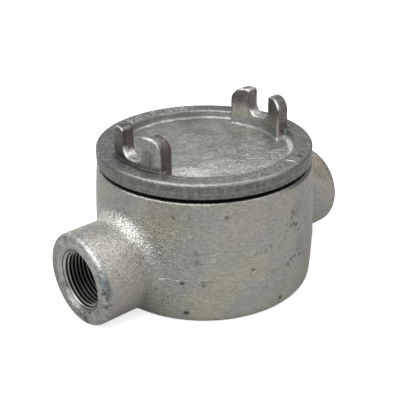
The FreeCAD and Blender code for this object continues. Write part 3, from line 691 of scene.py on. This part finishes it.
def cast_aluminium():
    material, tree, shader = new_material("cast_aluminium")
    axes = split(tree, place(tree))
    x, y, rise = axes
    face_x, face_y, face_z = skin_facing(tree)
    across = maths(tree, "ABSOLUTE", y)
    reach = from_box_axis(tree, axes)

    # Places on the casting
    front = ramp(tree, y, 0, 5, -35)
    right = ramp(tree, x, 0, -8, 32)
    left = maths(tree, "SUBTRACT", 1.0, right)
    side = ramp(tree, reach, FLANGE, -0.45, -0.1)
    rim = times(tree, ramp(tree, rise, FLANGE_TOP, -0.6, -0.2), ramp(tree, reach, FIELD, -0.2, 0.5))
    # Painted highlight along the top edge of the flange at the front left.
    rim_edge_highlight = times(tree, ramp(tree, reach, FLANGE, -1.2, -0.7), front, ramp(tree, rise, FLANGE_TOP, -1.5, -0.9),
                     ramp(tree, x, 0, 12, -8))
    chipped = times(tree, rim, ramp(tree, y, 0, 32, 39), ramp(tree, x, 0, -18, -8))
    above_floor = ramp(tree, rise, FIELD_FLOOR, -0.6, -0.3)
    field = times(tree, ramp(tree, rise, FIELD_FLOOR, 0.7, 0.3), above_floor)
    # Painted highlight: the floor along the foot of the recess wall at the front right.
    field_edge_highlight = times(tree, ramp(tree, reach, FIELD, -2.6, -1.3), ramp(tree, rise, FIELD_FLOOR, 1.8, 0.8),
                       above_floor, ramp(tree, y, 0, -12, -20), ramp(tree, x, 0, -2, 16))
    field_round = times(tree, ramp(tree, reach, FIELD, -2.4, -1.2), ramp(tree, rise, FIELD_FLOOR, 2.4, 1.2),
                        above_floor)
    far_ear = times(tree, ramp(tree, y, 0, 4.5, 7), left)
    shaded_side = times(tree, ramp(tree, y, 0, -3, 6), ramp(tree, rise, FLANGE_TOP, 9, 3))
    lug = ramp(tree, rise, FLANGE_TOP, 0.2, 1.0)
    lug_high = ramp(tree, rise, FLANGE_TOP, 3, 9)
    lug_outside = ramp(tree, reach, LUG_OUTER, -2, -0.3)
    lug_end = smooth_step(tree, maths(tree, "ABSOLUTE", face_y), 0.7, 0.92)
    lug_crown = times(tree, smooth_step(tree, face_z, 0.3, 0.7), ramp(tree, across, LUG_HALF, -5, -8))
    saddle = times(tree, smooth_step(tree, face_z, 0.02, 0.35), ramp(tree, across, 0, 7.5, 5.8),
                   ramp(tree, rise, FLANGE_TOP, 9, 5))
    lug_brow_highlight = times(tree, smooth_step(tree, face_z, 0.15, 0.35), smooth_step(tree, face_x, -0.25, -0.45))
    # Lower ends of the lugs, down in the recess, which take the painted shade of the end faces.
    lug_end_low = times(tree, lug_end, ramp(tree, reach, FIELD, -1.2, -1.8), ramp(tree, reach, FIELD, -9, -8),
                        ramp(tree, rise, FIELD_FLOOR, 0.8, 2))
    lug_foot_shadow = times(tree, ramp(tree, rise, FLANGE_TOP, 3.0, 0.4), ramp(tree, rise, FLANGE_TOP, -0.3, -0.1),
                     ramp(tree, reach, LUG_OUTER, -1, -0.3), ramp(tree, reach, LUG_OUTER, 2.4, 0.8),
                     ramp(tree, across, LUG_HALF, 1, -1))

    grain = use_group(tree, GRAIN, {
        "Grain Size": 0.45 * MM, "Pebble Size": 0.85 * MM, "Swell Size": 7 * MM,
        "Grain Depth": 0.07, "Pebble Depth": 0.09, "Swell Depth": 0.15,
    })
    colour = use_group(tree, PATCHES, {**ALUMINIUM_TONES, "Patch Size": 11 * MM, "Amount": 0.5})["Colour"]

    # Sunk field
    drifting = stirred_place(tree, 5 * MM, 3 * MM, seed=16.4)
    streaks = brushed(tree, BRUSH_TURN, (5, 1, 1), 1.1 * MM, seed=9.4)
    cloud = blotches(tree, 9 * MM, 0.3, 0.7, seed=15.2)
    sparkle = blotches(tree, 0.8 * MM, 0.5, 0.72, seed=18.1, detail=1)
    pale = times(tree, spots(tree, drifting, PALE_FLOOR), scaled(tree, sparkle, 0.75, 1.0))
    # Painted light and shade: the floor is lighter towards the front and darker towards the right.
    floor_tone = mix_colour(tree, right, mix_colour(tree, front, FIELD_BACK_TONE, FIELD_FRONT_TONE),
                            mix_colour(tree, front, FIELD_BACK_RIGHT_TONE, FIELD_FRONT_RIGHT_TONE))
    floor_tone = mix_colour(tree, pale, floor_tone, FIELD_PALE_TONE)
    floor_tone = mix_colour(tree, spots(tree, drifting, DULL_FLOOR), floor_tone, FIELD_DULL_TONE)
    floor_shade = times(
        tree, scaled(tree, smooth_step(tree, streaks, 0.3, 0.7), 0.7, 1.2), scaled(tree, cloud, 0.86, 1.1),
        maths(tree, "ADD", 0.92, times(tree, sparkle, scaled(tree, front, 0.2, 0.75))),
    )
    colour = mix_colour(tree, field, colour, shaded(tree, floor_tone, floor_shade))
    colour = mix_colour(tree, times(tree, field_edge_highlight, 0.9), colour, FIELD_EDGE_HIGHLIGHT_TONE)

    # Rim and side of the flange
    scuffs = blotches(tree, 1.4 * MM, 0.3, 0.7, seed=27.8, detail=3, roughness=0.7)
    rosy = blotches(tree, 6 * MM, 0.48, 0.68, seed=30.2)
    blue = blotches(tree, 5 * MM, 0.5, 0.7, seed=12.6)
    crumbs = blotches(tree, 1.1 * MM, 0.4, 0.62, seed=21.5, roughness=0.6)
    runs = smooth_step(tree, brushed(tree, 0.0, (1, 1, 2), 1.6 * MM, seed=2.7), 0.3, 0.7)
    # Painted light and shade: the rim is lighter towards the front and darker towards the right.
    rim_tone = mix_colour(tree, front, RIM_BACK_TONE, RIM_FRONT_TONE)
    rim_tone = shaded(tree, rim_tone, scaled(tree, scuffs, 0.54, 1.44))
    rim_tone = mix_colour(tree, times(tree, rosy, right, 0.6), rim_tone, RIM_ROSY_TONE)
    rim_tone = mix_colour(tree, times(tree, blue, 0.6), rim_tone, RIM_BLUE_TONE)
    rim_tone = shaded(tree, rim_tone, scaled(tree, right, 1.0, 0.84))
    colour = mix_colour(tree, times(tree, rim, 0.85), colour, rim_tone)
    colour = mix_colour(tree, rim_edge_highlight, colour, RIM_EDGE_HIGHLIGHT_TONE)
    crumbled = mix_colour(tree, crumbs, CRUMB_DARK_TONE, CRUMB_LIGHT_TONE)
    colour = mix_colour(tree, times(tree, chipped, 0.8), colour, crumbled)
    side_tone = mix_colour(tree, runs, SIDE_DARK_TONE, SIDE_LIGHT_TONE)
    # Painted shade: the side of the flange is darker towards the right.
    side_tone = shaded(tree, side_tone, scaled(tree, right, 1.0, 0.88))
    colour = mix_colour(tree, times(tree, side, scaled(tree, rim_edge_highlight, 0.8, 0.0)), colour, side_tone)

    # Lugs, with painted highlights on tops, edges and notch floors, and painted shade on ends, upper inner faces,
    # the far ear and along the feet
    # Painted shade on the end faces of the ears.
    end_shade = mix_colour(tree, right, EAR_END_SHADE_LEFT_TONE, EAR_END_SHADE_RIGHT_TONE)
    drips = smooth_step(tree, brushed(tree, 0.0, (1, 1, 6), 1.1 * MM, seed=24.3), 0.3, 0.7)
    smears = spots(tree, stirred_place(tree, 2 * MM, 1.2 * MM, seed=5.6), LUG_SMEARS)
    # Painted light and shade: the inner faces darker towards the top, the outer faces lit at the front and shaded
    # towards the back, the right lug lighter.
    outside = mix_colour(tree, shaded_side, EAR_OUTSIDE_LIT_TONE, EAR_SHADED_TONE)
    ear = mix_colour(tree, lug_high, EAR_LOW_TONE, EAR_HIGH_SHADE_TONE)
    ear = mix_colour(tree, lug_outside, ear, outside)
    ear = shaded(tree, ear, scaled(tree, right, 1.0, 1.1))
    ear = mix_colour(tree, lug_end, ear, end_shade)
    # Painted highlight on the tops of the ears.
    ear = mix_colour(tree, lug_crown, ear, EAR_CROWN_HIGHLIGHT_TONE)
    # Painted shade on the far ear of the left lug.
    ear = mix_colour(tree, times(tree, far_ear, 0.85), ear, EAR_FAR_SHADE_TONE)
    # Painted highlight on the floor of the left lug's notch.
    ear = mix_colour(tree, times(tree, saddle, left), ear, EAR_SADDLE_HIGHLIGHT_TONE)
    # Painted highlight on ear edges that face up and to the left.
    ear = mix_colour(tree, lug_brow_highlight, ear, EAR_BROW_HIGHLIGHT_TONE)
    ear = shaded(tree, ear, scaled(tree, drips, 0.74, 1.2))
    colour = mix_colour(tree, lug, colour, ear)
    colour = mix_colour(tree, smears, colour, SMEAR_TONE)
    colour = mix_colour(tree, lug_end_low, colour, end_shade)
    # Painted shadow along the foot of the lugs' outer faces, on the rim.
    colour = mix_colour(tree, times(tree, lug_foot_shadow, 0.75), colour, LUG_FOOT_SHADOW_TONE)

    # Grain, flecks and pits over all of it
    shade = times(tree, scaled(tree, grain["Mottle"], 0.82, 1.18), scaled(tree, grain["Crevice"], 1.06, 0.82),
                  scaled(tree, grain["Speckle"], 0.92, 1.08))
    colour = shaded(tree, colour, shade)
    rough_floor = times(tree, field, spots(tree, drifting, ROUGH_FLOOR))
    flecks = blotches(tree, 1.1 * MM, 0.34, 0.66, seed=33.9, roughness=0.6)
    colour = shaded(tree, colour, scaled(tree, flecks, 0.68, 1.36), share=rough_floor)
    pits = use_group(tree, PITS, {"Cell Size": 5 * MM, "Pit Size": 0.5 * MM, "Share": 0.35})["Mask"]
    dots = spots(tree, stirred_place(tree, 1.2 * MM, 0.6 * MM, seed=3.3), RIM_DOTS)
    dark = maths(tree, "MAXIMUM", times(tree, pits, 0.6), dots)
    colour = mix_colour(tree, dark, colour, ALUMINIUM_PIT_TONE)

    frosted = maths(tree, "MAXIMUM", field_edge_highlight, times(tree, pale, field))
    rough = maths(tree, "ADD", scaled(tree, grain["Speckle"], 0.3, 0.42), times(tree, frosted, 0.3))
    rough = maths(tree, "ADD", rough, times(tree, rim, 0.14))
    relief = times(tree, grain["Height"], scaled(tree, field, 1.0, 1.5), scaled(tree, field_round, 1.0, 0.35))
    relief = maths(tree, "ADD", relief, times(tree, streaks, field, 0.12))
    relief = maths(tree, "ADD", relief, times(tree, crumbs, chipped, 0.25))
    height = maths(tree, "SUBTRACT", relief, times(tree, dark, 0.1))
    bumped(tree, shader, height, worn_edge=scaled(tree, lug, RIM_WORN_EDGE, LUG_WORN_EDGE))
    coat(tree, shader, colour, rough)
    return material


# Threads, scraped edges, seal and screw
TARNISH = 0.7


def cut_thread(name, along, reach, crest, root, bright, deep_shade):
    """Cut thread along one axis: worn bright crests, and flanks painted dark as shade deep between them, told
    apart by radius and by slope.
    """
    material, tree, shader = new_material(name)
    where = place(tree)
    fine = noise(tree, where, 0.35 * MM, detail=2)
    slow = noise(tree, where, 4 * MM, detail=3, seed=5.0)
    flat = smooth_step(tree, maths(tree, "ABSOLUTE", skin_facing(tree)[along]), 0.84, 0.76)
    proud = maths(tree, "MAXIMUM", flat, smooth_step(tree, reach(tree, split(tree, where)), root, crest))
    tarnished = tuple(TARNISH * part for part in bright[:3]) + (1,)
    worn = mix_colour(tree, smooth_step(tree, slow, 0.35, 0.7), bright, tarnished)
    bumped(tree, shader, times(tree, fine, 0.02))
    coat(tree, shader, mix_colour(tree, proud, deep_shade, worn), scaled(tree, fine, 0.26, 0.42))
    return material


def scraped_skin(name, dark, light):
    """Proud edge of a casting, scraped bright."""
    material, tree, shader = new_material(name)
    grain = use_group(tree, GRAIN, {"Grain Depth": 0.03, "Pebble Depth": 0.04, "Swell Depth": 0.0})
    bumped(tree, shader, grain["Height"])
    coat(tree, shader, mix_colour(tree, grain["Mottle"], dark, light), scaled(tree, grain["Speckle"], 0.34, 0.5))
    return material


def seal_rubber():
    material, tree, shader = new_material("seal_rubber")
    fine = noise(tree, place(tree), 0.5 * MM, detail=3)
    colour = mix_colour(tree, fine, (0.0008, 0.0008, 0.0008, 1), (0.0025, 0.0025, 0.0025, 1))
    bumped(tree, shader, times(tree, fine, 0.03))
    coat(tree, shader, colour, scaled(tree, fine, 0.6, 0.85), metallic=0.0)
    shader.inputs["Specular IOR Level"].default_value = 0.05
    return material


def green_screw():
    material, tree, shader = new_material("green_screw")
    fine = noise(tree, place(tree), 0.6 * MM, detail=3)
    colour = mix_colour(tree, fine, (0.01, 0.16, 0.05, 1), (0.02, 0.24, 0.08, 1))
    bumped(tree, shader, times(tree, fine, 0.02))
    coat(tree, shader, colour, scaled(tree, fine, 0.28, 0.48), metallic=0.6)
    return material


def dress(node_name, material):
    slots = frame["nodes"][node_name].data.materials
    slots.clear()
    slots.append(material)


# Threads
def add_hub_threads(material):
    for name, side in (("hub_thread_right", 1), ("hub_thread_left", -1)):
        bm = thread_ridge(HUB_BORE, -HUB_THREAD_DEPTH, HUB_CREST, HUB_PITCH, HUB_THREAD_LOW, HUB_THREAD_HIGH)
        outward = Matrix.Rotation(side * math.pi / 2, 4, "Y")
        bmesh.ops.transform(bm, matrix=Matrix.Translation((0, 0, HUB_AXIS)) @ outward, verts=bm.verts)
        finish_piece(bm, name, "box", material)


def add_cover_threads(body_material, cover_material):
    """Thread in the body's opening and on the cover's plug, half a pitch apart so that they mesh."""
    bm = thread_ridge(OPENING_BORE, -COVER_THREAD_DEPTH, COVER_CREST, COVER_PITCH, OPENING_THREAD_LOW, RIM_TOP)
    finish_piece(bm, "opening_thread", "box", body_material)
    plug_low = COVER_LOW.z + PLUG_LEAD_IN
    lead = (plug_low - OPENING_THREAD_LOW) / COVER_PITCH
    bm = thread_ridge(PLUG, COVER_THREAD_DEPTH, COVER_CREST, COVER_PITCH, plug_low, RIM_TOP,
                      start_angle=FULL_TURN * (lead + 0.5))
    finish_piece(bm, "plug_thread", "cover", cover_material)


# Casting flash and fold
FLASH_WIDTH = 0.8 * MM
FLASH_HEIGHT = 0.4 * MM
FLASH_SINK = 0.08 * MM
FLASH_START = math.radians(24.5)
FLASH_SWEEP = math.radians(34)
FLASH_STEPS = 80
FLASH_CHIP = 1.1 * MM
FLASH_MEAN = 0.9
FLASH_RAGGED = 0.6
FOLD_FROM = at(9.3, -39.8, 0)
FOLD_TO = at(11.1, -45.6, 0)
FOLD_CURVE = 30 * MM
FOLD_WIDTH = 0.7 * MM
FOLD_HEIGHT = 0.3 * MM
FOLD_STEPS = 12


def add_parting_flash(material):
    """Trace of the mould's joint: a fine ridge on the belly from each hub root, fading as it goes."""
    half = FLASH_WIDTH / 2
    section = [(BELLY, -half), (BELLY + FLASH_HEIGHT, 0), (BELLY, half)]
    bm = bmesh.new()
    for hub_turn in (0, math.pi):
        for way in (1, -1):
            spin_section(bm, section, hub_turn + way * FLASH_START, way * FLASH_SWEEP, FLASH_STEPS)
    for vert in bm.verts:
        outward = Vector((vert.co.x, vert.co.y, 0)).normalized()
        proud = math.hypot(vert.co.x, vert.co.y) - BELLY
        from_hub = math.asin(abs(outward.y))
        share = math.sqrt(max(0.0, 1 - (from_hub - FLASH_START) / FLASH_SWEEP))
        skin = CASTING.ray_cast(outward * 2 * BELLY + Vector((0, 0, HUB_AXIS + vert.co.z)), -outward)[0]
        uneven = FLASH_MEAN + FLASH_RAGGED * noise_at(skin / FLASH_CHIP)
        vert.co = skin + outward * (proud * share * uneven - FLASH_SINK)
    finish_piece(bm, "parting_flash", "box", material)


def add_rim_fold(material):
    """Cold fold of the casting across the front of the cover's rim, tapering to both ends."""
    run = FOLD_TO - FOLD_FROM
    half = FOLD_WIDTH / 2
    sweep = run.length / FOLD_CURVE
    bm = bmesh.new()
    section = [(FOLD_CURVE - half, -FLASH_SINK), (FOLD_CURVE, FOLD_HEIGHT), (FOLD_CURVE + half, -FLASH_SINK)]
    spin_section(bm, section, 0, sweep, FOLD_STEPS)
    for vert in bm.verts:
        share = math.sin(math.pi * math.atan2(vert.co.y, vert.co.x) / sweep)
        radius = math.hypot(vert.co.x, vert.co.y)
        vert.co.xy *= (FOLD_CURVE + (radius - FOLD_CURVE) * share) / radius
        vert.co.z = (vert.co.z + FLASH_SINK) * share - FLASH_SINK
    turn = Matrix.Rotation(math.atan2(run.y, run.x) - math.pi / 2, 4, "Z")
    start = Vector((FOLD_FROM.x, FOLD_FROM.y, FLANGE_TOP))
    bmesh.ops.transform(bm, matrix=Matrix.Translation(start) @ turn @ Matrix.Translation((-FOLD_CURVE, 0, 0)),
                        verts=bm.verts)
    finish_piece(bm, "rim_fold", "cover", material)


# Studio
CAMERA_EYE = at(-224.374, -249.599, 197.783)
CAMERA_AIM = at(14.70, 19.73, 23.70)
CAMERA_ROLL = math.radians(-0.72)
CAMERA_LENS = 72.0
CAMERA_SENSOR = 36.0
CAMERA_NEAR = 0.01
FILL_LIGHT = 0.4
LIGHT_AIM = Vector((0, 0, 0.04))
WHITE = (1, 1, 1, 1)
FLOOR_HALF = 4.0
FLOOR_CUTS = 8
FLOOR_GREY = (0.53, 0.53, 0.52, 1)
FLOOR_DULLNESS = 0.9
FLOOR_PALE = (0.8, 0.8, 0.8, 1)
FLOOR_GLOW = 0.7
SOFTBOXES = [
    # name, place in metres, width and height in metres, power in watts
    ("overhead_left", (-0.6, -0.05, 0.76), (1.4, 0.8), 8.7),
    ("overhead_right", (0.38, 0.0, 0.9), (1.2, 0.5), 3.1),
    ("front_right", (0.3, -1.05, 0.55), (1.0, 0.6), 1.35),
    ("back", (0.15, 1.05, 0.2), (0.5, 0.25), 0.8),
]


def add_camera():
    data = bpy.data.cameras.new("photo_view")
    data.lens = CAMERA_LENS
    data.sensor_width = CAMERA_SENSOR
    data.clip_start = CAMERA_NEAR
    camera = add_object("photo_view", data)
    look = (CAMERA_AIM - CAMERA_EYE).to_track_quat("-Z", "Y").to_matrix().to_4x4()
    camera.matrix_world = Matrix.Translation(CAMERA_EYE) @ look @ Matrix.Rotation(CAMERA_ROLL, 4, "Z")
    bpy.context.scene.camera = camera


def add_softbox(name, place_at, size, power):
    data = bpy.data.lights.new(name, "AREA")
    data.shape = "RECTANGLE"
    data.size, data.size_y = size
    data.energy = power
    light = add_object(name, data)
    light.location = place_at
    light.rotation_mode = "QUATERNION"
    light.rotation_quaternion = (LIGHT_AIM - Vector(place_at)).to_track_quat("-Z", "Y")


def add_floor():
    """Flat pale floor: white to the camera, mid-grey in what the metal reflects."""
    bm = bmesh.new()
    bmesh.ops.create_grid(bm, x_segments=FLOOR_CUTS, y_segments=FLOOR_CUTS, size=FLOOR_HALF)
    mesh = bpy.data.meshes.new("floor")
    bm.to_mesh(mesh)
    bm.free()
    floor = add_object("floor", mesh)
    material, tree, shader = new_material("pale_floor")
    shader.inputs["Base Color"].default_value = FLOOR_GREY
    shader.inputs["Roughness"].default_value = FLOOR_DULLNESS
    white = node(tree, "ShaderNodeBsdfDiffuse", {"Color": FLOOR_PALE})
    glow = node(tree, "ShaderNodeEmission", {"Color": WHITE, "Strength": FLOOR_GLOW})
    seen = node(tree, "ShaderNodeAddShader", {0: white.outputs["BSDF"], 1: glow.outputs["Emission"]})
    path = node(tree, "ShaderNodeLightPath")
    shown = node(tree, "ShaderNodeMixShader", {0: path.outputs["Is Camera Ray"], 1: shader.outputs["BSDF"],
                                               2: seen.outputs["Shader"]})
    tree.links.new(shown.outputs["Shader"], tree.nodes["Material Output"].inputs["Surface"])
    mesh.materials.append(material)


def add_world():
    """Soft even light all round that the camera sees as plain white."""
    world = bpy.data.worlds.new("studio")
    bpy.context.scene.world = world
    world.use_nodes = True
    tree = world.node_tree
    background = tree.nodes["Background"]
    background.inputs["Color"].default_value = WHITE
    seen = node(tree, "ShaderNodeLightPath").outputs["Is Camera Ray"]
    tree.links.new(scaled(tree, seen, FILL_LIGHT, 1.0), background.inputs["Strength"])


dress("box_body", plated_iron())
dress("cover", cast_aluminium())
dress("seal_ring", seal_rubber())
dress("ground_screw", green_screw())
# The darker colour given to each thread is painted shade on its flanks.
add_hub_threads(
    cut_thread("conduit_thread", "X", from_hub_axis, crest=HUB_BORE - 1.2 * MM, root=HUB_BORE - 0.7 * MM,
               bright=(0.56, 0.55, 0.52, 1), deep_shade=(0.03, 0.028, 0.026, 1)),
)
add_cover_threads(
    cut_thread("opening_thread", "Z", from_box_axis, crest=OPENING_BORE - 1.0 * MM, root=OPENING_BORE - 0.2 * MM,
               bright=(0.5, 0.49, 0.46, 1), deep_shade=(0.2, 0.19, 0.17, 1)),
    cut_thread("plug_thread", "Z", from_box_axis, crest=PLUG + 1.0 * MM, root=PLUG + 0.2 * MM,
               bright=(0.62, 0.62, 0.6, 1), deep_shade=(0.3, 0.3, 0.29, 1)),
)
add_parting_flash(scraped_skin("scraped_iron", dark=(0.1, 0.1, 0.09, 1), light=(0.4, 0.4, 0.37, 1)))
add_rim_fold(scraped_skin("scraped_aluminium", dark=(0.24, 0.24, 0.228, 1), light=(0.5, 0.5, 0.485, 1)))
add_camera()
for softbox in SOFTBOXES:
    add_softbox(*softbox)
add_floor()
add_world()
bpy.context.scene.view_settings.view_transform = "Standard"
